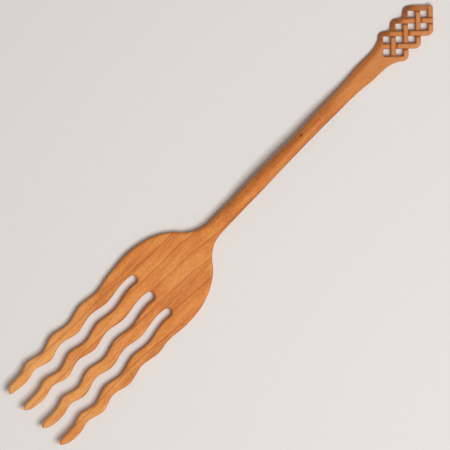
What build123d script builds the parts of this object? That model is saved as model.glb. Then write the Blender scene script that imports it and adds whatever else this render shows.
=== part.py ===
from build123d import *
import os
from math import cos, pi, sin, sqrt

# A pasta fork carved from one cherry board: four wavy tines, a flat palm, a slender handle that
# flares out, and a pierced knot of four plaited strands at its end. Millimetres. +X runs from the
# tines to the knot, +Y is the left edge seen from the palm towards the knot, and +Z is up. Z = 0 is
# the surface that the fork lies on, and X = 0 is the middle of its length. The fork is one piece of
# wood, and its regions meet face to face.

# Overall
LENGTH = 350.0
TINE_TIP_X = -LENGTH / 2
KNOT_TIP_X = LENGTH / 2

# Palm, seen from above
PALM_X = -66.0           # where the palm is widest
PALM_HALF_WIDTH = 28.3
PALM_HALF_LENGTH = 40.0  # of the ellipse that rounds it off towards the handle
SHOULDER_ANGLE = 29.0    # on that ellipse, where the outline turns into the neck
NECK_Y = 0.28
NECK_BEND_X = -24.5
NECK_BEND_HALF_WIDTH = 8.05
NECK_X = -14.0
NECK_HALF_WIDTH = 5.1

# Tines: name, middle line's Y at the root and at the tip, extra width at the root, how far the
# tip's point lies aside of that line, and how much shorter than the longest tine it is
ROOT_X = -76.0
ROOT_HALF_WIDTH = 27.55  # of the palm, where the tines start
SLOT_END_X = -69.2
SLOT_END_DROP = 0.5      # the slots' closed ends turn slightly to the right
TINES = (
    ("tine_outer_right", -22.2, -23.7, 0.6, 1.0, 0.0),
    ("tine_inner_right", -7.8, -8.9, 0.0, 0.8, 0.0),
    ("tine_inner_left", 7.0, 6.6, 0.0, 1.2, 0.0),
    ("tine_outer_left", 21.7, 21.5, 1.0, -1.1, 0.8),
)
NIB_LENGTH = 5.0         # of the tapered tip
NIB_WIDTH = 5.2          # where it starts
NIB_FULLNESS = 0.65      # how blunt its point is
TINE_TIP_WIDTH = 5.3
TINE_ROOT_WIDTH = 8.9
TINE_TAPER = 0.85        # power: the tines widen fast at first, then slowly

# The wave that all four tines share, counted in half waves from the first trough by the tips
WAVE_START_X = -164.0
WAVE_STEP = 10.4
WAVE_STEP_GROWTH = 0.255
FIRST_HALF_WAVE = -1
LAST_HALF_WAVE = 7
WAVE_DEPTHS = (0.9, 0.35, 1.3, 1.35, 1.3, 1.15, 1.05, 0.9, 0.8)

# Side view
BELLY_END_X = -40.0      # the palm lies flat from PALM_X to here
KNOT_FLAT_X = 130.0      # and the knot lies flat from here on
TINE_LIFT = 7.0
HANDLE_ARCH = 6.0
TINE_TIP_THICKNESS = 3.6
ROOT_THICKNESS = 6.8
NECK_THICKNESS = 8.6
FLARE_THICKNESS = 8.0
KNOT_THICKNESS = 6.0
EDGE_ROUNDING = 1.3

# Handle and flare, seen from above
FLARE_X = 112.0
FLARE_Y = -0.36
FLARE_HALF_WIDTH = 5.93
HANDLE_SECTIONS = (      # where, half width, thickness, corner radius
    (NECK_X, NECK_HALF_WIDTH, NECK_THICKNESS, EDGE_ROUNDING),
    (0.0, 4.98, 9.2, 3.2),
    (40.0, 4.6, 9.6, 3.9),
    (60.0, 4.5, 9.5, 3.9),
    (80.0, 4.67, 9.1, 3.7),
    (100.0, 5.1, 8.4, 3.0),
    (FLARE_X, FLARE_HALF_WIDTH, FLARE_THICKNESS, EDGE_ROUNDING),
)
FLARE_LEFT = ((122.0, 5.95), (132.0, 6.3))
FLARE_RIGHT = ((122.0, -7.2), (131.0, -8.1))
FLARE_FULLNESS = 0.12    # how far the flare stands out past the strands that leave it

# Knot: a square lattice turned 45 degrees, in steps of LATTICE along and across the knot's axis
LATTICE = 5.43
LATTICE_X = 135.4        # the first pair of crossings
KNOT_Y = -1.55
STRAND_WIDTH = 3.1
STRAND_ROUNDING = 0.6
LOBE_RADIUS = 2.2
BORDER_START = (0.5, 1.5)    # lattice place where a border strand leaves the flare
KNOT_TIP = (7, 0)            # and where both of them cross at the tip
TIP_OVERRUN = LATTICE_X + KNOT_TIP[0] * LATTICE + STRAND_WIDTH / sqrt(2) - KNOT_TIP_X
TIP_ROUNDING = TIP_OVERRUN / (sqrt(2) - 1)
# Each strand's turning points on the lattice, and its crossings from the handle to the tip
STRANDS = (
    ("knot_border_left", (BORDER_START, (1, 2), (5, -2), KNOT_TIP),
     (((2, 1), "over"), ((3, 0), "under"), ((4, -1), "over"), ((6, -1), "under"),
      (KNOT_TIP, "over"))),
    ("knot_border_right", ((0.5, -1.5), (1, -2), (5, 2), KNOT_TIP),
     (((2, -1), "under"), ((3, 0), "over"), ((4, 1), "under"), ((6, 1), "over"),
      (KNOT_TIP, "under"))),
    ("knot_hook_left", ((0, -1), (3, 2), (6, -1)),
     (((0, -1), "under"), ((1, 0), "over"), ((2, 1), "under"), ((4, 1), "over"), ((5, 0), "under"),
      ((6, -1), "over"))),
    ("knot_hook_right", ((0, 1), (3, -2), (6, 1)),
     (((0, 1), "over"), ((1, 0), "under"), ((2, -1), "over"), ((4, -1), "under"), ((5, 0), "over"),
      ((6, 1), "under"))),
)

OVERRUN = 4.0            # how far a trimming outline runs past what it trims
ALONG = (1, 0)           # the direction of an outline that runs along the fork
ACROSS = (0, 1)          # and of one that runs across it
TALL = 60.0              # taller and wider than any section, for trimming
TOUCH = 1e-3             # how close counts as on a plane


def underside(x):
    """Z of the fork's underside."""
    if x < PALM_X:
        return TINE_LIFT * ((PALM_X - x) / (PALM_X - TINE_TIP_X)) ** 2
    if BELLY_END_X < x < KNOT_FLAT_X:
        return HANDLE_ARCH * sin(pi * (x - BELLY_END_X) / (KNOT_FLAT_X - BELLY_END_X)) ** 2
    return 0.0


def head_thickness(x):
    """Thickness of the tines, palm and neck."""
    if x < ROOT_X:
        share = (x - TINE_TIP_X) / (ROOT_X - TINE_TIP_X)
        return TINE_TIP_THICKNESS + (ROOT_THICKNESS - TINE_TIP_THICKNESS) * share
    share = (x - ROOT_X) / (NECK_X - ROOT_X)
    return ROOT_THICKNESS + (NECK_THICKNESS - ROOT_THICKNESS) * share ** 2


def wave_x(halves):
    """X after so many half waves."""
    return WAVE_START_X + WAVE_STEP * halves + WAVE_STEP_GROWTH * halves ** 2


def wave_y(halves):
    """Sideways offset of every tine after so many half waves."""
    step = min(int(halves - FIRST_HALF_WAVE), len(WAVE_DEPTHS) - 2)
    share = halves - FIRST_HALF_WAVE - step
    depth = WAVE_DEPTHS[step] * (1 - share) + WAVE_DEPTHS[step + 1] * share
    return -depth * cos(pi * halves)


def tine_width(x, extra):
    """Width of a tine at x."""
    share = (x - TINE_TIP_X) / (ROOT_X - TINE_TIP_X)
    return TINE_TIP_WIDTH + (TINE_ROOT_WIDTH + extra - TINE_TIP_WIDTH) * share ** TINE_TAPER


def tine_edge(tine, side):
    """Points along one edge of a tine, from its tip to its root."""
    name, root_y, tip_y, extra, aside, short = tine
    nib = (TINE_TIP_X + short + NIB_LENGTH - WAVE_START_X) / WAVE_STEP
    quarters = range(2 * FIRST_HALF_WAVE + 2, 2 * LAST_HALF_WAVE + 1)
    points = []
    for halves in [nib] + [quarter / 2 for quarter in quarters]:
        x = wave_x(halves)
        share = (x - ROOT_X) / (WAVE_START_X - ROOT_X)
        middle = root_y + (tip_y - root_y) * share + wave_y(halves)
        width = NIB_WIDTH if halves == nib else tine_width(x, extra)
        points.append((x, middle + side * width / 2))
    return points


def outside_edge(tine, side):
    """The outside edge of an outer tine, from its tip to the palm's widest point."""
    last = [(ROOT_X, side * ROOT_HALF_WIDTH), (PALM_X, side * PALM_HALF_WIDTH)]
    return Spline(*tine_edge(tine, side)[:-1], *last)


def slot_edges(lower, upper):
    """The outline between two tines: up one, round the end of their slot, and down the other."""
    low_edge = tine_edge(lower, 1)
    high_edge = tine_edge(upper, -1)
    middle = (low_edge[-1][1] + high_edge[-1][1]) / 2 - SLOT_END_DROP
    radius = (high_edge[-1][1] - low_edge[-1][1]) / 2
    low_end = (SLOT_END_X - radius, middle - radius)
    high_end = (SLOT_END_X - radius, middle + radius)
    return [
        Spline(*low_edge, low_end),
        ThreePointArc(low_end, (SLOT_END_X, middle), high_end),
        Spline(*high_edge, high_end),
    ]


def tine_tip(tine, low, high):
    """The tapered end of a tine, between its two edges."""
    name, root_y, tip_y, extra, aside, short = tine
    point = (TINE_TIP_X + short, tip_y + aside)
    directions = [-(low % 0), ACROSS, high % 0]
    return Spline(low @ 0, point, high @ 0, tangents=directions, tangent_scalars=[1, NIB_FULLNESS, 1])


def palm_edges(side):
    """One edge of the palm, from its widest point to the neck."""
    round_part = EllipticalCenterArc(
        (PALM_X, 0), PALM_HALF_LENGTH, PALM_HALF_WIDTH, SHOULDER_ANGLE, arc_size=90 - SHOULDER_ANGLE)
    if side < 0:
        round_part = round_part.mirror(Plane.XZ)
    shoulder = round_part @ 0
    turn = round_part % 0
    neck = Spline(
        shoulder,
        (NECK_BEND_X, NECK_Y + side * NECK_BEND_HALF_WIDTH),
        (NECK_X, NECK_Y + side * NECK_HALF_WIDTH),
        tangents=[-turn, ALONG],
    )
    return [round_part, neck]


def head_plan():
    """Outline of the tines, palm and neck, seen from above."""
    edges = [outside_edge(TINES[0], -1)]
    for lower, upper in zip(TINES, TINES[1:]):
        edges += slot_edges(lower, upper)
    edges.append(outside_edge(TINES[-1], 1))
    long_edges = [edge for edge in edges if edge.length > LENGTH / 4]
    tips = [tine_tip(*sides) for sides in zip(TINES, long_edges[::2], long_edges[1::2])]
    neck_end = Line((NECK_X, NECK_Y - NECK_HALF_WIDTH), (NECK_X, NECK_Y + NECK_HALF_WIDTH))
    return make_face(edges + tips + palm_edges(-1) + palm_edges(1) + [neck_end])


def head_side():
    """Outline of the tines, palm and neck, seen from the side."""
    first_x = TINE_TIP_X - OVERRUN
    last_x = NECK_X + OVERRUN
    top_x = (first_x, -140.0, -105.0, ROOT_X, -50.0, -30.0, last_x)
    tine_x = (first_x, -140.0, -105.0, PALM_X)
    neck_x = (BELLY_END_X, -25.0, last_x)
    top = [(x, underside(x) + head_thickness(x)) for x in top_x]
    tine_bottom = [(x, underside(x)) for x in tine_x]
    neck_bottom = [(x, underside(x)) for x in neck_x]
    tip_slope = -2 * TINE_LIFT * (PALM_X - first_x) / (PALM_X - TINE_TIP_X) ** 2
    return make_face([
        Spline(*top),
        Spline(*tine_bottom, tangents=[(1, tip_slope), ALONG]),
        Line(tine_bottom[-1], neck_bottom[0]),
        Spline(*neck_bottom),
        Line(tine_bottom[0], top[0]),
        Line(neck_bottom[-1], top[-1]),
    ])


def is_upright(edge):
    """Whether an edge runs straight up."""
    return abs((edge @ 1 - edge @ 0).Z) > 0.9 * edge.length


def is_at(edge, x):
    """Whether a whole edge lies in the plane at x."""
    return abs((edge @ 0).X - x) < TOUCH and abs((edge @ 1).X - x) < TOUCH


def round_long_edges(solid):
    """A region of the head with its edges rounded, except where it meets its neighbours."""
    edges = [edge for edge in solid.edges() if not is_upright(edge)]
    edges = [edge for edge in edges if not is_at(edge, ROOT_X) and not is_at(edge, NECK_X)]
    return solid.fillet(EDGE_ROUNDING, edges)


def head():
    """The palm, and the tines cut from it at their roots, by name."""
    plan = extrude(head_plan(), TALL, both=True)
    side = extrude(Plane.XZ * head_side(), TALL, both=True)
    whole = plan & side
    palm = split(whole, Plane.YZ.offset(ROOT_X), keep=Keep.TOP)
    tines = split(whole, Plane.YZ.offset(ROOT_X), keep=Keep.BOTTOM).solids()
    regions = {"palm": round_long_edges(palm)}
    for tine, solid in zip(TINES, tines.sort_by(Axis.Y)):
        regions[tine[0]] = round_long_edges(solid)
    return regions


def handle_section(x, half_width, thickness, rounding):
    """One cross-section of the handle."""
    share = (x - NECK_X) / (FLARE_X - NECK_X)
    middle_y = NECK_Y + (FLARE_Y - NECK_Y) * share
    middle = (x, middle_y, underside(x) + thickness / 2)
    plane = Plane(origin=middle, x_dir=(0, 1, 0), z_dir=(1, 0, 0))
    return plane * RectangleRounded(2 * half_width, thickness, rounding)


def handle():
    """The slender part between the neck and the flare."""
    return loft([handle_section(*section) for section in HANDLE_SECTIONS])


def lattice_point(place):
    """A lattice place, given as steps along and across the knot's axis."""
    return (LATTICE_X + place[0] * LATTICE, KNOT_Y + place[1] * LATTICE)


def crossing_block(place, upper):
    """The upper or lower half of the square where two strands cross."""
    half = KNOT_THICKNESS / 2
    low = half if upper else 0.0
    block = Box(STRAND_WIDTH, STRAND_WIDTH, half, align=(Align.CENTER, Align.CENTER, Align.MIN))
    return Pos(*lattice_point(place), low) * Rot(0, 0, 45) * block


def strand_end(end, before, crossings):
    """A strand's end point, carried on through the crossing that it ends in, if any."""
    run = Vector(*lattice_point(end)) - Vector(*lattice_point(before))
    ends_in_crossing = end in [place for place, level in crossings]
    extra = STRAND_WIDTH / 2 if ends_in_crossing else 0.0
    return Vector(*lattice_point(end)) + run.normalized() * extra


def strand(turns, crossings):
    """A square strand of the plait, halved wherever it meets another."""
    first = strand_end(turns[0], turns[1], crossings)
    last = strand_end(turns[-1], turns[-2], crossings)
    corners = [lattice_point(place) for place in turns[1:-1]]
    path = FilletPolyline(first, *corners, last, radius=LOBE_RADIUS)
    start = Plane(origin=path @ 0, x_dir=(0, 0, 1), z_dir=path % 0)
    section = start * Pos(KNOT_THICKNESS / 2, 0) * Rectangle(KNOT_THICKNESS, STRAND_WIDTH)
    solid = sweep(section, path=path)
    if turns[-1] == KNOT_TIP:
        tip = solid.edges().filter_by(Axis.Z).sort_by(Axis.X)[-1]
        solid = fillet(tip, TIP_ROUNDING)
    ends = [solid.faces().sort_by_distance(path @ share)[0] for share in (0, 1)]
    edges = solid.edges() - ends[0].edges() - ends[1].edges()
    solid = fillet([edge for edge in edges if not is_upright(edge)], STRAND_ROUNDING)
    for place, level in crossings:
        solid -= crossing_block(place, upper=level == "under")
    return solid


def flare_edges(side, side_points):
    """One half of the flare's outline, from the handle round to the plait's first hole."""
    reach = STRAND_WIDTH / sqrt(2)
    cut_x, cut_y = lattice_point((BORDER_START[0], side * BORDER_START[1]))
    hole_x, hole_y = lattice_point((0, 0))
    full = reach / 2 + FLARE_FULLNESS
    outside = [(FLARE_X, FLARE_Y + side * FLARE_HALF_WIDTH), *side_points]
    outside.append((cut_x - full, cut_y + side * full))
    inside = [
        outside[-1],
        (cut_x + reach / 2, cut_y - side * reach / 2),
        (hole_x + reach, hole_y + side * LATTICE),
        (hole_x, hole_y + side * (LATTICE - reach)),
        (hole_x - LATTICE + reach, hole_y),
    ]
    return [Spline(*outside), Polyline(*inside)]


def flare_plan():
    """Outline of the flare, seen from above."""
    left = flare_edges(1, FLARE_LEFT)
    right = flare_edges(-1, FLARE_RIGHT)
    front = Line(left[0] @ 0, right[0] @ 0)
    return make_face(left + right + [front])


def flare_side():
    """Outline of the flare, seen from the side."""
    middle_x = (FLARE_X + KNOT_FLAT_X) / 2
    middle_thickness = (FLARE_THICKNESS + KNOT_THICKNESS) / 2
    low = [(x, underside(x)) for x in (FLARE_X, middle_x, KNOT_FLAT_X)]
    high = [
        (FLARE_X, low[0][1] + FLARE_THICKNESS),
        (middle_x, low[1][1] + middle_thickness),
        (KNOT_FLAT_X, KNOT_THICKNESS),
    ]
    return make_face([
        Spline(*low),
        Spline(*high),
        Polyline(low[-1], (KNOT_TIP_X, 0), (KNOT_TIP_X, KNOT_THICKNESS), high[-1]),
        Line(low[0], high[0]),
    ])


def runs_along_side(edge):
    """Whether an edge of the flare runs along its outside."""
    ends = (edge @ 0, edge @ 1)
    outside = min(abs(end.Y - FLARE_Y) for end in ends) > FLARE_HALF_WIDTH - TOUCH
    return outside and abs(ends[1].X - ends[0].X) > STRAND_WIDTH


def flare():
    """The wide end of the handle, with the plait's first hole in it."""
    solid = extrude(flare_plan(), TALL, both=True) & extrude(Plane.XZ * flare_side(), TALL, both=True)
    solid = fillet([edge for edge in solid.edges() if runs_along_side(edge)], EDGE_ROUNDING)
    solid -= crossing_block((0, 1), upper=True)
    solid -= crossing_block((0, -1), upper=False)
    return solid


def fork():
    """Every region of the fork, by name."""
    regions = head()
    regions["handle"] = handle()
    regions["handle_flare"] = flare()
    for name, turns, crossings in STRANDS:
        regions[name] = strand(turns, crossings)
    return regions


os.makedirs("parts", exist_ok=True)
for name, region in fork().items():
    export_step(region, "parts/" + name + ".step")
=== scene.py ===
"""The looks of a pasta fork carved from one cherry board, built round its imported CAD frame.

The tines, palm, handle and flare are one carved body. Its outline and its side view come from the
CAD nodes, its edges are eased and bevelled as a knife would, and it is cut into one closed piece per
CAD node. The four strands of the plaited knot dip under each other where they cross. Everything is
in metres.
"""

from math import cos, pi, radians, sin, sqrt, tan

import bmesh
import bpy
import numpy as np
import openvdb
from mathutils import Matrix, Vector
from mathutils.bvhtree import BVHTree


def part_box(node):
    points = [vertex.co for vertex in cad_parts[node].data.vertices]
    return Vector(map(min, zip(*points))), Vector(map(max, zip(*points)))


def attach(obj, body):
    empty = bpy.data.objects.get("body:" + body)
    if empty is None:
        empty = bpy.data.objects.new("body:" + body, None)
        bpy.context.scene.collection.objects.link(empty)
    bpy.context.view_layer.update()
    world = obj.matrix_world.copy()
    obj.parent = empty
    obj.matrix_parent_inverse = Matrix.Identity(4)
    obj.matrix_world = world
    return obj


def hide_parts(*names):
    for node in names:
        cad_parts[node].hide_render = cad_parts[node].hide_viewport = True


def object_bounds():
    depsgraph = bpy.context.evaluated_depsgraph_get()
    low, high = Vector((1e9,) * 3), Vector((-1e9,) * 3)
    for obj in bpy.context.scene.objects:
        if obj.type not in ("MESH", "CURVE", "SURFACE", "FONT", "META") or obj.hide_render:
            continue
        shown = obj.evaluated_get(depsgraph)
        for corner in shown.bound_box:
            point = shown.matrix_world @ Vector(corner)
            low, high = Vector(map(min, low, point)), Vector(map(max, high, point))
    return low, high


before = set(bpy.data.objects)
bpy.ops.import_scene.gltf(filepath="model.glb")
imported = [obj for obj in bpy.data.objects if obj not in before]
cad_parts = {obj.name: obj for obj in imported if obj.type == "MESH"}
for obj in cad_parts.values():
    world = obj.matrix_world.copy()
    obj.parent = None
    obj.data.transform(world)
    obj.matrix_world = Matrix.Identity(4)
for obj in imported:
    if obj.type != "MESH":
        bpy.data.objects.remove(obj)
cad_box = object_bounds()

MM = 0.001
UP = Vector((0, 0, 1))
SKY = 1.0                 # higher than anything, for looking down at the CAD solids

# The carved body
TINES = ("tine_outer_right", "tine_inner_right", "tine_inner_left", "tine_outer_left")
CARVED = TINES + ("palm", "handle", "handle_flare")
BORDERS = ("knot_border_left", "knot_border_right")
CELL = 0.5 * MM           # of the grid that the body is carved on
MARGIN = 3                # cells kept round the body
WALL_SLOPE = 0.35         # a CAD face steeper than this is part of the outline
BESIDE = 0.15 * MM        # how far out from a wall it has to be open
TIP_LENGTH = 6 * MM       # of the tine tips, whose side view carries on the line behind them
LINE_LENGTH = 24 * MM     # of that line
SIDE_SMOOTHING = 3 * MM
MOST_EASE = 0.4           # of the body's thickness, for an edge that is eased
BEVEL_TILT = radians(46)
PROJECTIONS = 4           # steps that bring a vertex onto the carved surface

# The shallow marks that hand finishing leaves: waves along and across the grain, whose phases
# shift slowly so that the marks don't line up
MARK_LENGTH = 27 * MM
MARK_WIDTH = 8.5 * MM
SHIFT_ACROSS = 1.3        # these three are in radians
SHIFT_THROUGH = 0.8
SHIFT_ALONG = 1.1

# Sizes along the carved body, in millimetres. Each is paired with its station, which is a share of
# the handle's length, counted from the neck
CARVING_DEPTH = ((1.0, 0.12), (1.17, 0.0))
EDGE_EASE = ((-1.28, 1.5), (-0.5, 1.8), (0.0, 2.2), (0.15, 2.6), (0.8, 2.4), (1.0, 1.7), (1.2, 1.0))
# The bevels' reach inwards from the outline. Far below 0 means no bevel
BEVEL_LEFT = ((-0.15, -400), (-0.1, -3.0), (0.0, 0.6), (0.15, 2.6), (0.35, 2.8), (0.6, 3.3),
              (0.72, 2.9), (0.87, 2.9), (1.05, 3.5), (1.1, 3.0), (1.2, 3.1))
BEVEL_RIGHT = ((-0.15, -400), (-0.1, -3.0), (0.0, 0.6), (0.15, 2.4), (0.6, 2.2), (0.87, 2.6),
               (0.97, 3.2), (1.05, 1.5), (1.2, -0.5))
BEVEL_EASE = ((0.0, 1.5), (0.15, 2.2), (0.35, 1.5), (0.55, 2.2), (0.75, 1.1), (1.2, 0.6))
BEVEL_BELOW = ((0.9, 1.0), (1.02, 0.0))   # not a size, but the underside's share of the bevels

# The knot
STRAND_WIDTH = 3.1 * MM
STRAND_REACH = STRAND_WIDTH / sqrt(2)
LOBE_RADIUS = 2.2 * MM
STRAND_EDGE = 1.0 * MM    # how far the strands' long edges are eased
MOST_STRAND_EASE = 0.45   # of the strand's own thickness, where it is thin
EDGE_POINTS = 5
CORNER_POINTS = 24        # along the middle line, round each lobe
DIP = 1.9 * MM            # of a strand just before it goes under another
DIP_RUN = 1.3 * MM        # from the edge of a crossing to where the dip ends
BITE = 0.1 * MM           # how far a strand runs into the one that it meets
ROOTED = 0.8 * MM         # how far a hook starts inside the flare
CROWN_BEVEL = 0.65        # how much steeper the bevel is round a lobe's crown
CROWN_INSET = 0.7 * MM    # width of the flat that it leaves there, along the inner edge
TIP_BEVEL = 0.8           # and how steep it is on the way to the tip
# Where the bevels round the lobes, round their crowns and by the tip start, in steps of the
# lattice, and over how many steps each one grows
LOBE_START, LOBE_RUN = 1.12, 0.42
CROWN_START, CROWN_RUN = 1.5, 0.35
TIP_START, TIP_RUN = 6.6, 0.3
STEP = 0.25 * MM          # between a strand's rings
STEP_EDGE = 0.01 * MM     # between the two rings of a step
CREASE = radians(40)


def node_box(name):
    """A CAD node's lowest and highest corners, as arrays."""
    return [np.array(corner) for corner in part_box(name)]


def faces_of(names, wanted=None):
    """A search tree over the faces of some CAD nodes, or over those of them that are wanted."""
    points, faces = [], []
    for name in names:
        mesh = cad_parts[name].data
        first = len(points)
        points += [vertex.co.copy() for vertex in mesh.vertices]
        for face in mesh.polygons:
            if wanted is None or wanted(face):
                faces.append([first + index for index in face.vertices])
    return BVHTree.FromPolygons(points, faces)


def smooth_step(share):
    """0 to 1, with no sudden start or end."""
    share = np.clip(share, 0, 1)
    return share * share * (3 - 2 * share)


# The knot's lattice, measured on the two hooks, which both end six steps along it
hook_left, hook_right = node_box("knot_hook_left"), node_box("knot_hook_right")
KNOT_Y = (hook_left[1][1] + hook_right[0][1]) / 2
LOBE_REACH = STRAND_WIDTH / 2 - LOBE_RADIUS * (sqrt(2) - 1)
LATTICE = ((hook_left[1][1] - hook_right[0][1]) / 2 - LOBE_REACH) / 2
LATTICE_X = hook_left[1][0] - 6 * LATTICE - STRAND_REACH
KNOT_THICKNESS = hook_left[1][2]
KNOT_TIP = (7, 0)
BORDER_START = (0.5, 1.5)
# Each strand's turning points on the lattice, and the crossings where it goes over and under
STRANDS = {
    "knot_border_left": (
        [BORDER_START, (1, 2), (5, -2), KNOT_TIP],
        [(2, 1), (4, -1), KNOT_TIP], [(3, 0), (6, -1)]),
    "knot_border_right": (
        [(0.5, -1.5), (1, -2), (5, 2), KNOT_TIP],
        [(3, 0), (6, 1)], [(2, -1), (4, 1), KNOT_TIP]),
    "knot_hook_left": (
        [(0, -1), (3, 2), (6, -1)],
        [(1, 0), (4, 1), (6, -1)], [(0, -1), (2, 1), (5, 0)]),
    "knot_hook_right": (
        [(0, 1), (3, -2), (6, 1)],
        [(0, 1), (2, -1), (5, 0)], [(1, 0), (4, -1), (6, 1)]),
}


def lattice_point(place):
    """A lattice place, given as steps along and across the knot's axis."""
    return np.array((LATTICE_X + place[0] * LATTICE, KNOT_Y + place[1] * LATTICE))


# ---- The carved body ----

def height_lines(xs, ys, solids):
    """The body's top and bottom along its length."""
    top = np.full(len(xs), -SKY)
    bottom = np.full(len(xs), SKY)
    for i, x in enumerate(xs):
        for y in ys:
            above = solids.ray_cast(Vector((x, y, SKY)), -UP)[0]
            if above is not None:
                below = solids.ray_cast(Vector((x, y, -SKY)), UP)[0]
                top[i] = max(top[i], above.z)
                bottom[i] = min(bottom[i], below.z)
    lines = []
    tip_x = cad_box[0].x + TIP_LENGTH
    behind_tip = (xs > tip_x) & (xs < tip_x + LINE_LENGTH)
    for line in (top, bottom):
        trend = np.polyfit(xs[behind_tip], line[behind_tip], 2)
        line = np.where(xs < tip_x, np.polyval(trend, xs), line)
        found = np.abs(line) < SKY / 2
        line = np.interp(xs, xs[found], line[found])
        width = int(SIDE_SMOOTHING / CELL)
        padded = np.pad(line, width, mode="edge")
        kernel = np.ones(2 * width + 1) / (2 * width + 1)
        lines.append(np.convolve(padded, kernel, mode="valid"))
    return lines


def wall_depth(xs, ys, middle, walls):
    """How far each place is behind the nearest wall at half height, negative in front of it."""
    depth = np.empty((len(xs), len(ys), 1))
    for i, x in enumerate(xs):
        for j, y in enumerate(ys):
            place = Vector((x, y, middle[i]))
            nearest, normal, _, distance = walls.find_nearest(place)
            depth[i, j] = distance if normal.dot(nearest - place) > 0 else -distance
    return depth


def is_inside(xs, ys, solids):
    """1 inside the outline seen from above, and -1 outside it."""
    hits = [[solids.ray_cast(Vector((x, y, SKY)), -UP)[0] for y in ys] for x in xs]
    return np.array([[[-1 if hit is None else 1] for hit in row] for row in hits])


def size_along(xs, stations):
    """A size in millimetres blended between stations, which are shares of the handle's length."""
    neck, flare = node_box("handle")[0][0], node_box("handle")[1][0]
    places, sizes = zip(*stations)
    return np.interp(xs, neck + (flare - neck) * np.array(places), np.array(sizes) * MM)


def soft_max(a, b, width):
    """The larger of two distances, blended where they are closer than width."""
    return np.maximum(a, b) + np.maximum(width - np.abs(a - b), 0) ** 2 / (4 * width)


def carving(x, y, z):
    """Shallow marks, from 0 to 1, longer along the grain than across it."""
    long, wide = 2 * pi / MARK_LENGTH, 2 * pi / MARK_WIDTH
    drift = SHIFT_ACROSS * np.sin(y * wide / 3 + 0.7) + SHIFT_THROUGH * np.sin(z * wide / 2)
    wander = SHIFT_ALONG * np.sin(x * long / 1.7 + 0.4)
    return 0.5 + 0.5 * np.sin(x * long + drift) * np.sin(y * wide + z * wide / 2 + wander)


class Field:
    """The signed distance to the carved surface on a regular grid."""

    def __init__(self, low, high):
        axes = [np.arange(a - MARGIN * CELL, b + (MARGIN + 1) * CELL, CELL) for a, b in zip(low, high)]
        xs, ys, zs = axes
        self.origin = np.array([axis[0] for axis in axes])
        solids = faces_of(CARVED + BORDERS)

        def is_outline(face):
            out = Vector((face.normal.x, face.normal.y, 0)).normalized() * BESIDE
            beside = face.center + out
            beside.z = SKY
            return abs(face.normal.z) < WALL_SLOPE and solids.ray_cast(beside, -UP)[0] is None

        def is_left(face):
            return is_outline(face) and face.normal.y > 0 and face.center.y > KNOT_Y + LATTICE / 2

        def is_right(face):
            return is_outline(face) and face.normal.y < 0 and face.center.y < KNOT_Y - LATTICE / 2

        top, bottom = height_lines(xs, ys[::2], solids)
        middle = (top + bottom) / 2
        depth, left, right = (
            wall_depth(xs, ys, middle, faces_of(CARVED + BORDERS, wanted))
            for wanted in (is_outline, is_left, is_right))
        depth = np.abs(depth) * is_inside(xs, ys, solids)
        by_x = (slice(None), None, None)   # spreads a line along X over the grid
        above = zs - top[by_x]
        below = bottom[by_x] - zs
        ease = np.minimum(size_along(xs, EDGE_EASE), (top - bottom) * MOST_EASE)[by_x]
        body = soft_max(-depth, np.maximum(above, below), ease)
        bevel_ease = size_along(xs, BEVEL_EASE)[by_x]
        share = size_along(xs, BEVEL_BELOW)[by_x] / MM
        for inward, stations in ((left, BEVEL_LEFT), (right, BEVEL_RIGHT)):
            width = size_along(xs, stations)[by_x]
            for face, reach in ((above, width), (below, width * share)):
                bevel = face * cos(BEVEL_TILT) + (reach - inward) * sin(BEVEL_TILT)
                body = soft_max(body, bevel, bevel_ease)
        marks = size_along(xs, CARVING_DEPTH)[by_x] * carving(xs[by_x], ys[None, :, None], zs)
        self.values = (body + marks).astype(np.float32)
        self.slopes = np.stack(np.gradient(self.values, CELL), axis=-1)

    def sample(self, grid, points):
        """The grid's values at some points, blended between its nearest places."""
        place = (points - self.origin) / CELL
        limit = np.array(self.values.shape) - 2
        cell = np.clip(np.floor(place).astype(int), 0, limit)
        share = place - cell
        total = 0
        for corner in np.ndindex(2, 2, 2):
            weight = np.prod(np.where(corner, share, 1 - share), axis=1)
            index = tuple((cell + corner).T)
            value = grid[index]
            total = total + (weight * value.T).T
        return total

    def normals(self, points):
        """Unit vectors out of the surface."""
        slope = self.sample(self.slopes, points)
        return slope / np.linalg.norm(slope, axis=1)[:, None]

    def surface(self):
        """The carved surface, as points and four-sided faces."""
        grid = openvdb.FloatGrid()
        grid.copyFromArray((self.values / CELL).astype(np.float32))
        points, _, quads = grid.convertToPolygons(0.0, 0.0)
        points = np.array(points) * CELL + self.origin
        for _ in range(PROJECTIONS):
            step = self.sample(self.values, points)
            points -= self.normals(points) * step[:, None]
        return points, quads


def cut_piece(name, source, planes, field):
    """The part of the carved body behind every plane, closed, and inside its CAD node's width."""
    low, high = node_box(name)
    bm = bmesh.new()
    bm.from_mesh(source)
    aside = [v for v in bm.verts if not low[1] - CELL < v.co.y < high[1] + CELL]
    bmesh.ops.delete(bm, geom=aside, context="VERTS")
    for point, out in planes:
        geometry = bm.verts[:] + bm.edges[:] + bm.faces[:]
        bmesh.ops.bisect_plane(bm, geom=geometry, plane_co=point, plane_no=out, clear_outer=True)
    rims = [edge for edge in bm.edges if edge.is_boundary]
    caps = bmesh.ops.holes_fill(bm, edges=rims)["faces"]
    bm.faces.index_update()
    cap_indices = {face.index for face in caps}
    mesh = bpy.data.meshes.new(name)
    bm.to_mesh(mesh)
    bm.free()
    points = np.array([vertex.co for vertex in mesh.vertices])
    smooth = field.normals(points)
    normals = []
    for face in mesh.polygons:
        face.use_smooth = True
        flat = face.index in cap_indices
        normals += [face.normal if flat else smooth[index] for index in face.vertices]
    mesh.normals_split_custom_set(normals)
    return mesh


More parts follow.
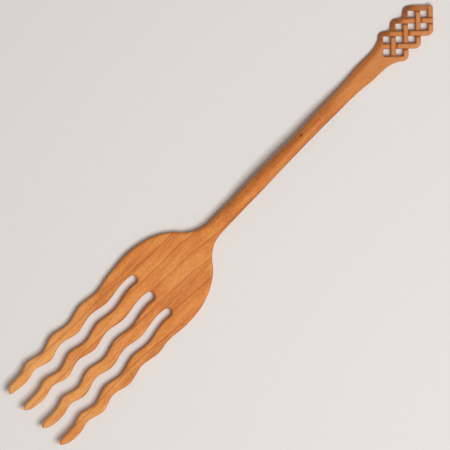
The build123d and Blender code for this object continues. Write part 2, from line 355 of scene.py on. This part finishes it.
def carved_meshes():
    """One mesh for each carved CAD node."""
    low, high = (np.array(corner) for corner in cad_box)
    high[0] = lattice_point((2, 0))[0]
    field = Field(low, high)
    points, quads = field.surface()
    whole = bpy.data.meshes.new("carved_body")
    whole.from_pydata(points.tolist(), [], quads.tolist())
    whole.update()
    root, neck, flare = (
        Vector((node_box(name)[0][0], 0, 0)) for name in ("palm", "handle", "handle_flare"))
    forward = Vector((1, 0, 0))
    flare_planes = [(flare, -forward)]
    for side in (1, -1):
        end = lattice_point((BORDER_START[0], side * BORDER_START[1]))
        flare_planes.append((Vector((*end, 0)), Vector((1, side, 0)).normalized()))
    planes = {name: [(root, forward)] for name in TINES}
    planes["palm"] = [(root, -forward), (neck, forward)]
    planes["handle"] = [(neck, -forward), (flare, forward)]
    planes["handle_flare"] = flare_planes
    return {name: cut_piece(name, whole, planes[name], field) for name in CARVED}


# ---- The knot ----

def strand_line(turns, over, under):
    """The middle line of a strand, with rounded corners, as closely spaced points."""
    points = [lattice_point(turn) for turn in turns]
    runs = [b - a for a, b in zip(points, points[1:])]
    runs = [run / np.linalg.norm(run) for run in runs]
    line = [points[0]]
    for corner, before, after in zip(points[1:], runs, runs[1:]):
        middle = corner + (after - before) * LOBE_RADIUS
        for turn in np.linspace(0, pi / 2, CORNER_POINTS):
            line.append(middle - after * LOBE_RADIUS * cos(turn) + before * LOBE_RADIUS * sin(turn))
    line.append(points[-1])
    if turns[-1] in over + under:
        line[-1] = line[-1] + runs[-1] * STRAND_WIDTH / 2
    if turns[0] in over + under:
        line[0] = line[0] + runs[0] * (STRAND_WIDTH / 2 - ROOTED)
    return np.array(line)


def along(line, distances):
    """Points on a line, and the directions across it, at some distances from its start."""
    steps = np.diff(line, axis=0)
    lengths = np.concatenate([[0], np.cumsum(np.linalg.norm(steps, axis=1))])
    points = np.stack([np.interp(distances, lengths, line[:, k]) for k in (0, 1)], axis=1)
    ahead = np.stack([np.interp(distances + STEP / 2, lengths, line[:, k]) for k in (0, 1)], axis=1)
    behind = np.stack([np.interp(distances - STEP / 2, lengths, line[:, k]) for k in (0, 1)], axis=1)
    run = ahead - behind
    run /= np.linalg.norm(run, axis=1)[:, None]
    return points, np.stack([-run[:, 1], run[:, 0]], axis=1)


def dip_at(away):
    """How far a strand gives way at a distance from the middle of a crossing."""
    beyond = (np.abs(away) - STRAND_WIDTH / 2) / DIP_RUN
    dip = DIP * (1 - smooth_step(beyond))
    return np.where(np.abs(away) < STRAND_WIDTH / 2 - BITE, KNOT_THICKNESS / 2, dip)


def outer_bevel(points, across):
    """The slope of a strand's top where its left side is the knot's outer edge, and its inset."""
    steps_along, steps_across = ((points - lattice_point((0, 0))) / LATTICE).T
    lobe = smooth_step((steps_across - LOBE_START) / LOBE_RUN)
    crown = smooth_step((steps_across - CROWN_START) / CROWN_RUN)
    faces_tip = np.maximum(across.sum(axis=1) / sqrt(2), 0)
    tip = TIP_BEVEL * faces_tip * smooth_step((steps_along + steps_across - TIP_START) / TIP_RUN)
    slope = np.maximum(lobe * (1 + CROWN_BEVEL * crown), tip) * tan(BEVEL_TILT)
    return slope, CROWN_INSET * crown


def strand_ring(point, across, low, high, slope, inset):
    """One ring of a strand: a rectangle with eased edges, and a top that slopes down to the left."""
    # The lower left edge has only the room that the slope leaves, or the ring would fold over
    outer_top = min(high, KNOT_THICKNESS - slope * (STRAND_WIDTH - inset))
    ring = []
    for quarter in range(4):
        side = 1 if quarter in (0, 3) else -1
        room = (outer_top if side > 0 else high) - low
        ease = min(STRAND_EDGE, MOST_STRAND_EASE * room)
        level = high - ease if quarter < 2 else low + ease
        for turn in np.linspace(0, pi / 2, EDGE_POINTS):
            angle = turn + quarter * pi / 2
            offset = side * (STRAND_WIDTH / 2 - ease) + ease * cos(angle)
            bevel = KNOT_THICKNESS - slope * max(STRAND_WIDTH / 2 + offset - inset, 0)
            ring.append((*(point + across * offset), min(level + ease * sin(angle), bevel)))
    return ring


def blunt_tip(vertices):
    """Rounds off the corner where the two border strands end."""
    tip = lattice_point(KNOT_TIP) + (STRAND_REACH, 0)
    overrun = tip[0] - cad_box[1].x
    radius = overrun / (sqrt(2) - 1)
    centre = tip - (radius * sqrt(2), 0)
    offset = vertices[:, :2] - centre
    left = (offset[:, 0] + offset[:, 1]) / sqrt(2)
    right = (offset[:, 0] - offset[:, 1]) / sqrt(2)
    in_corner = (left > 0) & (right > 0)
    share = np.maximum(left, right) / np.maximum(np.hypot(left, right), STEP_EDGE)
    vertices[in_corner, :2] = (centre + offset * share[:, None])[in_corner]
    return vertices


def crossing_distances(line, length, turns, places):
    """How far along a strand each of its crossings is."""
    distances = np.arange(0, length, STEP / 4)
    points = along(line, distances)[0]
    crossings = {}
    for place in places:
        away = np.linalg.norm(points - lattice_point(place), axis=1)
        crossings[place] = distances[away.argmin()]
    if turns[0] in places:
        crossings[turns[0]] = ROOTED - STRAND_WIDTH / 2
    return crossings


def ring_distances(length, crossings):
    """Where a strand has its rings: evenly along it, on both sides of each step, and round its end.

    A ring that would all but touch the one before it is left out.
    """
    distances = list(np.arange(0, length, STEP))
    for middle in crossings.values():
        for side in (-1, 1):
            edge = middle + side * (STRAND_WIDTH / 2 - BITE)
            distances += [edge - STEP_EDGE, edge + STEP_EDGE]
    distances += list(length - STRAND_EDGE * (1 - np.sin(np.linspace(0, pi / 2, EDGE_POINTS))))
    distances = np.sort(distances)
    distances = distances[(distances >= 0) & (distances <= length)]
    apart = np.diff(distances, prepend=-STEP) > STEP_EDGE / 2
    return distances[apart]


def strand_levels(distances, crossings, turns, over, under):
    """A strand's underside and top along its length."""
    low, high = np.zeros(len(distances)), np.full(len(distances), KNOT_THICKNESS)
    for place, middle in crossings.items():
        away = distances - middle
        if place == turns[-1]:
            away = np.minimum(away, 0)
        if place in under:
            high -= dip_at(away)
        elif place != turns[0]:
            low += dip_at(away)
    short = np.clip(STRAND_EDGE - (distances[-1] - distances), 0, STRAND_EDGE)
    shoulder = STRAND_EDGE - np.sqrt(STRAND_EDGE ** 2 - short ** 2)
    return low + shoulder, high - shoulder


def ring_faces(rings, size):
    """The faces of a closed tube of rings."""
    faces = []
    for i in range(rings - 1):
        for j in range(size):
            a, b = i * size + j, i * size + (j + 1) % size
            faces.append((a, b, b + size, a + size))
    faces.append(tuple(reversed(range(size))))
    faces.append(tuple(range((rings - 1) * size, rings * size)))
    return faces


def strand_mesh(name):
    """A strand of the knot, flat on top, that dips under some strands and is hollowed for others."""
    turns, over, under = STRANDS[name]
    line = strand_line(turns, over, under)
    length = np.linalg.norm(np.diff(line, axis=0), axis=1).sum()
    crossings = crossing_distances(line, length, turns, over + under)
    distances = ring_distances(length, crossings)
    points, across = along(line, distances)
    levels = strand_levels(distances, crossings, turns, over, under)
    vertices = []
    for ring in zip(points, across, *levels, *outer_bevel(points, across)):
        vertices += strand_ring(*ring)
    vertices = np.array(vertices)
    if turns[-1] == KNOT_TIP:
        vertices = blunt_tip(vertices)
    mesh = bpy.data.meshes.new(name)
    mesh.from_pydata(vertices.tolist(), [], ring_faces(len(distances), 4 * EDGE_POINTS))
    bm = bmesh.new()
    bm.from_mesh(mesh)
    bmesh.ops.recalc_face_normals(bm, faces=bm.faces[:])
    bm.to_mesh(mesh)
    bm.free()
    for face in mesh.polygons:
        face.use_smooth = True
    mesh.set_sharp_from_angle(angle=CREASE)
    return mesh


# ---- Materials ----

class Graph:
    """The shader nodes of one material."""

    def __init__(self, name):
        self.material = bpy.data.materials.new(name)
        self.material.use_nodes = True
        self.tree = self.material.node_tree
        self.shader = self.tree.nodes["Principled BSDF"]

    def set(self, node, inputs):
        """Gives a node's inputs their values or links."""
        for key, value in inputs.items():
            if isinstance(value, bpy.types.NodeSocket):
                self.tree.links.new(value, node.inputs[key])
            else:
                node.inputs[key].default_value = value

    def add(self, kind, inputs, output=0, **settings):
        """Adds a node and returns one of its outputs."""
        node = self.tree.nodes.new(kind)
        for key, value in settings.items():
            setattr(node, key, value)
        self.set(node, inputs)
        return node.outputs[output]

    def math(self, operation, *values):
        """A step of arithmetic on one or two numbers."""
        return self.add("ShaderNodeMath", dict(enumerate(values)), operation=operation)

    def total(self, first, *others):
        """A sum of any number of values."""
        for value in others:
            first = self.math("ADD", first, value)
        return first

    def split(self, place):
        """A place's X, Y and Z."""
        node = self.tree.nodes.new("ShaderNodeSeparateXYZ")
        self.set(node, {0: place})
        return list(node.outputs)

    def noise(self, place, stretch, detail=2.0, roughness=0.5):
        """Noise from 0 to 1, with its own number of features per metre along each axis."""
        scaled = self.add("ShaderNodeVectorMath", {0: place, 1: stretch}, operation="MULTIPLY")
        inputs = {"Vector": scaled, "Scale": 1.0, "Detail": detail, "Roughness": roughness}
        return self.add("ShaderNodeTexNoise", inputs)

    def swing(self, noise, size):
        """How far some noise is from its middle, times a size."""
        return self.math("MULTIPLY", self.math("SUBTRACT", noise, 0.5), size)

    def distance(self, place, centre, weights):
        """Distance to a point, with some axes counting for more."""
        away = self.add("ShaderNodeVectorMath", {0: place, 1: centre}, operation="SUBTRACT")
        away = self.add("ShaderNodeVectorMath", {0: away, 1: weights}, operation="MULTIPLY")
        return self.add("ShaderNodeVectorMath", {0: away}, output=1, operation="LENGTH")

    def ramp(self, value, stops):
        """A colour for each value, blended between stops in ascending order."""
        node = self.tree.nodes.new("ShaderNodeValToRGB")
        elements = node.color_ramp.elements
        for place, _ in stops[2:]:
            elements.new(place)
        for element, (place, colour) in zip(elements, stops):
            element.position = place
            element.color = (*colour, 1.0)
        self.set(node, {0: value})
        return node.outputs[0]

    def blend(self, kind, share, below, above):
        """Two colours mixed."""
        node = self.tree.nodes.new("ShaderNodeMix")
        node.data_type = "RGBA"
        node.blend_type = kind
        self.set(node, {0: share, 6: below, 7: above})
        return node.outputs[2]

    def range(self, value, low, high, new_low=0.0, new_high=1.0, smooth=True):
        """A value moved from one range to another."""
        kind = "SMOOTHSTEP" if smooth else "LINEAR"
        inputs = {0: value, 1: low, 2: high, 3: new_low, 4: new_high}
        return self.add("ShaderNodeMapRange", inputs, interpolation_type=kind)


# Growth rings. RING_WAVES and the noises below are in features per metre along X, Y and Z
RING_GAP = 9.0 * MM       # between the board's growth rings
RING_START = 8.5 * MM     # Y of one of them, in the middle of the palm's top
RING_LEAN = 0.065         # of the rings across the board, as far as the neck
RING_TILT = 0.4           # of the rings through the board's thickness
RING_WANDER = 7.0 * MM
RING_WAVES = (13.0, 34.0, 34.0)
RING_TONE = 0.08          # how much darker the wood gets from one ring to the next
LINE_POWER = 14.0         # how late in a ring its dark line starts
LINE_END = 0.05           # how far into the next ring it fades out
LINE_BREAKS = (0.8, 1.2, 0.35, 1.2)   # range of the blotches, and the line's strength there
LINE_FADE = (60 * MM, 95 * MM, 1.0, 0.15)   # range of X, and the line's strength there
LINE_STRENGTH = 0.9

# Where the wood's tone changes, and where light, shade and sheen are painted: a range of distance, X
# or Y, and the tone added there
# The palm is lighter in its middle: this is partly the wood's own figure and partly a painted sheen
PALM_FIGURE_AND_SHEEN = (-46 * MM, -6 * MM, 8 * MM)
FIGURE_AND_SHEEN_SHAPE = (1.0, 2.2, 0.0)              # long along the grain, and right through the palm
FIGURE_AND_SHEEN_TONE = (2 * MM, 28 * MM, 0.20, 0.0)
TINE_TONE = (-75 * MM, -155 * MM, 0.0, 0.24)
TINE_SIDES = (-25 * MM, 25 * MM, 0.6, 1.4)  # share of that tone from the right to the left
FLARE_TONE = (85 * MM, 105 * MM, 0.0, 0.17)
# Painted light: the knot's right lobes, on the side that faces the key light, are made lighter
RIGHT_LOBE_PAINTED_LIGHT = (-8.5 * MM, -12 * MM, -0.05, 0.14)
# Painted shade: the knot's left lobes, on the side away from the key light, are made darker
LEFT_LOBE_PAINTED_SHADE = (3 * MM, 9 * MM, 0.0, -0.42)
LOBE_PAINT_START = (100 * MM, 128 * MM)      # X where the painted light and shade on the knot's lobes set in

USUAL_TONE = 0.54
TONES = [                 # of the wood, from dark to light
    (0.0, (0.40, 0.100, 0.020)),
    (0.5, (0.74, 0.255, 0.055)),
    (1.0, (0.92, 0.430, 0.130)),
]
DRIFT = [                 # of the colour from the tips to the knot, as shares of the length
    (0.10, (0.92, 0.97, 1.00)),
    (0.30, (0.94, 0.93, 0.88)),
    (0.50, (0.90, 0.88, 0.84)),
    (0.66, (0.78, 0.70, 0.66)),
    (0.80, (0.82, 0.80, 0.86)),
    (0.90, (0.78, 0.79, 1.00)),
]
LATE_WOOD = (0.62, 0.48, 0.42, 1.0)   # these three darken the colour below them
PIN_COLOUR = (0.50, 0.28, 0.22, 1.0)
PORE_COLOUR = (0.62, 0.48, 0.40, 1.0)

# The noises that vary the tone: stretch, detail, roughness, and how much each one counts
NOISES = {
    "streaks": ((11.0, 380.0, 380.0), 4.0, 0.6, 1.0),
    "fibres": ((60.0, 2600.0, 2600.0), 3.0, 0.6, 0.6),
    "clouds": ((50.0, 130.0, 130.0), 3.0, 0.5, 0.7),
    "flecks": ((420.0, 1100.0, 1100.0), 3.0, 0.6, 0.7),
}
NOISE_FADE = (75 * MM, 108 * MM, 1.0, 0.45)   # range of X, and the noises' strength there
PORES = (330.0, 2600.0, 2600.0)
PORE_RANGE = (0.62, 0.70)     # of their noise
PORE_STRENGTH = 0.38
PIN_KNOT = (62.5 * MM, 1.5 * MM, 15 * MM)
PIN_SHAPE = (0.6, 1.0, 0.2)
PIN_RANGE = (0.35 * MM, 1.1 * MM, 0.9, 0.0)   # range of distance, and the pin knot's strength there

GLOSS_RANGE = (0.3, 0.7, 0.48, 0.60)          # range of the streaks, and the roughness there
PORE_ROUGHNESS = 0.12
FIBRE_RELIEF = 0.5
LINE_RELIEF = 0.4
RELIEF_STRENGTH = 0.35
RELIEF_DEPTH = 0.04 * MM
SPECULAR = 0.2

FLOOR_TOOTH = (400.0, 400.0, 400.0)
FLOOR_COLOURS = [(0.0, (0.745, 0.76, 0.775)), (1.0, (0.785, 0.80, 0.815))]
FLOOR_ROUGHNESS = 0.9


def growth_rings(g, place, x, y, z, blotches):
    """How far a place is from one growth ring to the next, and how strong the dark line there is."""
    moved = g.swing(g.noise(place, RING_WAVES), RING_WANDER)
    up_to_neck = g.math("MINIMUM", x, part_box("palm")[1].x)
    lean = g.math("MULTIPLY", g.math("SUBTRACT", up_to_neck, PALM_FIGURE_AND_SHEEN[0]), RING_LEAN)
    tilt = g.math("MULTIPLY", g.math("SUBTRACT", z, PALM_FIGURE_AND_SHEEN[2]), RING_TILT)
    board = g.total(y, moved, lean, tilt)
    ring = g.math("FRACT", g.math("DIVIDE", g.math("SUBTRACT", board, RING_START), RING_GAP))
    line = g.math("MAXIMUM", g.math("POWER", ring, LINE_POWER), g.range(ring, 0.0, LINE_END, 1.0, 0.0))
    line = g.math("MULTIPLY", line, g.range(blotches, *LINE_BREAKS))
    return ring, g.math("MULTIPLY", line, g.range(x, *LINE_FADE))


def local_tone_and_painted_light(g, place, x, y):
    """How much the tone differs in the middle of the palm, on the tines and towards the knot, with a
    painted sheen in the palm's middle and painted light and shade on the knot's lobes.
    """
    # Partly the wood's figure and partly a painted sheen, lighter in the palm's middle
    figure_and_sheen = g.range(g.distance(place, PALM_FIGURE_AND_SHEEN, FIGURE_AND_SHEEN_SHAPE), *FIGURE_AND_SHEEN_TONE)
    to_tips = g.range(x, *TINE_TONE, smooth=False)
    tines = g.math("MULTIPLY", to_tips, g.range(y, *TINE_SIDES, smooth=False))
    flare = g.range(x, *FLARE_TONE)
    # Painted light on the knot's right lobes and painted shade on its left lobes
    lobe_painted_light_and_shade = g.math("ADD", g.range(y, *LEFT_LOBE_PAINTED_SHADE), g.range(y, *RIGHT_LOBE_PAINTED_LIGHT))
    knot = g.math("MULTIPLY", g.range(x, *LOBE_PAINT_START), lobe_painted_light_and_shade)
    return g.total(figure_and_sheen, tines, flare, knot)


def cherry():
    """Oiled cherry: growth rings along the board, fine fibres, pores and a small pin knot."""
    g = Graph("oiled_cherry")
    place = g.add("ShaderNodeTexCoord", {}, output="Object")
    x, y, z = g.split(place)
    noises = {name: g.noise(place, *settings[:3]) for name, settings in NOISES.items()}
    pore = g.range(g.noise(place, PORES, detail=1.0), *PORE_RANGE)
    blotches = g.math("ADD", noises["streaks"], noises["flecks"])
    ring, line = growth_rings(g, place, x, y, z, blotches)
    pin = g.range(g.distance(place, PIN_KNOT, PIN_SHAPE), *PIN_RANGE)

    tone_and_painted_light = g.math("SUBTRACT", USUAL_TONE, g.math("MULTIPLY", ring, RING_TONE))
    # This adds painted sheen on the palm and painted light and shade on the knot's lobes to the wood's
    # tone
    tone_and_painted_light = g.math("ADD", tone_and_painted_light, local_tone_and_painted_light(g, place, x, y))
    figured = g.range(x, *NOISE_FADE)
    for name, noise in noises.items():
        change = g.math("MULTIPLY", g.swing(noise, NOISES[name][3]), figured)
        tone_and_painted_light = g.math("ADD", tone_and_painted_light, change)

    length = cad_box[1].x - cad_box[0].x
    share = g.math("DIVIDE", g.math("SUBTRACT", x, cad_box[0].x), length)
    colour = g.blend("MULTIPLY", 1.0, g.ramp(tone_and_painted_light, TONES), g.ramp(share, DRIFT))
    colour = g.blend("MULTIPLY", g.math("MULTIPLY", line, LINE_STRENGTH), colour, LATE_WOOD)
    colour = g.blend("MULTIPLY", pin, colour, PIN_COLOUR)
    colour = g.blend("MULTIPLY", g.math("MULTIPLY", pore, PORE_STRENGTH), colour, PORE_COLOUR)
    gloss = g.range(noises["streaks"], *GLOSS_RANGE)
    rough = g.math("ADD", gloss, g.math("MULTIPLY", pore, PORE_ROUGHNESS))
    height = g.math("SUBTRACT", g.math("MULTIPLY", noises["fibres"], FIBRE_RELIEF), pore)
    height = g.math("SUBTRACT", height, g.math("MULTIPLY", line, LINE_RELIEF))
    relief = {"Strength": RELIEF_STRENGTH, "Distance": RELIEF_DEPTH, "Height": height}
    g.set(g.shader, {
        "Base Color": colour,
        "Roughness": rough,
        "Normal": g.add("ShaderNodeBump", relief),
        "Specular IOR Level": SPECULAR,
    })
    return g.material


def pale_floor():
    """Matt, nearly white paper."""
    g = Graph("pale_floor")
    place = g.add("ShaderNodeTexCoord", {}, output="Object")
    colour = g.ramp(g.noise(place, FLOOR_TOOTH), FLOOR_COLOURS)
    g.set(g.shader, {"Base Color": colour, "Roughness": FLOOR_ROUGHNESS})
    return g.material


# ---- The scene ----

CAMERA_TURN = radians(46.2)
CAMERA_HEIGHT = 2.6
CAMERA_TARGET = Vector((-8.9 * MM, -2.9 * MM, 5 * MM))
VIEW_WIDTH = 274.4 * MM
SENSOR_WIDTH = 36.0
FLOOR_RADIUS = 4.0
FLOOR_CORNERS = 64
KEY_PLACE = (0.05, -0.5, 1.4)
KEY_WIDTH = 0.6
KEY_POWER = 17.0
KEY_COLOUR = (1.0, 0.98, 0.95)
STUDIO_COLOUR = (1.0, 0.87, 0.77, 1.0)   # of the light that comes from all round
STUDIO_STRENGTH = 0.28


def add_object(name, data):
    """An object with this data, in the scene."""
    thing = bpy.data.objects.new(name, data)
    bpy.context.scene.collection.objects.link(thing)
    return thing


def add_camera():
    """Straight above the fork, and turned so that it lies across the picture from corner to corner."""
    camera = bpy.data.cameras.new("camera")
    camera.sensor_width = SENSOR_WIDTH
    camera.lens = SENSOR_WIDTH * CAMERA_HEIGHT / VIEW_WIDTH
    thing = add_object("camera", camera)
    thing.location = CAMERA_TARGET + UP * CAMERA_HEIGHT
    thing.rotation_euler = (0, 0, -CAMERA_TURN)
    bpy.context.scene.camera = thing


def add_light(name, place, width, power, colour):
    """A soft square light that shines at the fork."""
    light = bpy.data.lights.new(name, "AREA")
    light.size = width
    light.energy = power
    light.color = colour
    thing = add_object(name, light)
    thing.location = place
    thing.rotation_mode = "QUATERNION"
    thing.rotation_quaternion = (-Vector(place)).to_track_quat("-Z", "Y")


def add_surroundings():
    """Floor, a key light and a pale sky."""
    bm = bmesh.new()
    bmesh.ops.create_circle(bm, cap_ends=True, radius=FLOOR_RADIUS, segments=FLOOR_CORNERS)
    mesh = bpy.data.meshes.new("floor")
    bm.to_mesh(mesh)
    bm.free()
    floor = add_object("floor", mesh)
    floor.data.materials.append(pale_floor())
    add_light("key", KEY_PLACE, KEY_WIDTH, KEY_POWER, KEY_COLOUR)
    world = bpy.data.worlds.new("studio")
    world.use_nodes = True
    background = world.node_tree.nodes["Background"]
    background.inputs["Color"].default_value = STUDIO_COLOUR
    background.inputs["Strength"].default_value = STUDIO_STRENGTH
    bpy.context.scene.world = world
    bpy.context.scene.view_settings.view_transform = "Standard"


wood = cherry()
meshes = carved_meshes()
meshes.update({name: strand_mesh(name) for name in STRANDS})
for name, mesh in meshes.items():
    piece = add_object("carved_" + name, mesh)
    mesh.materials.append(wood)
    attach(piece, "root")
    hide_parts(name)
add_surroundings()
add_camera()
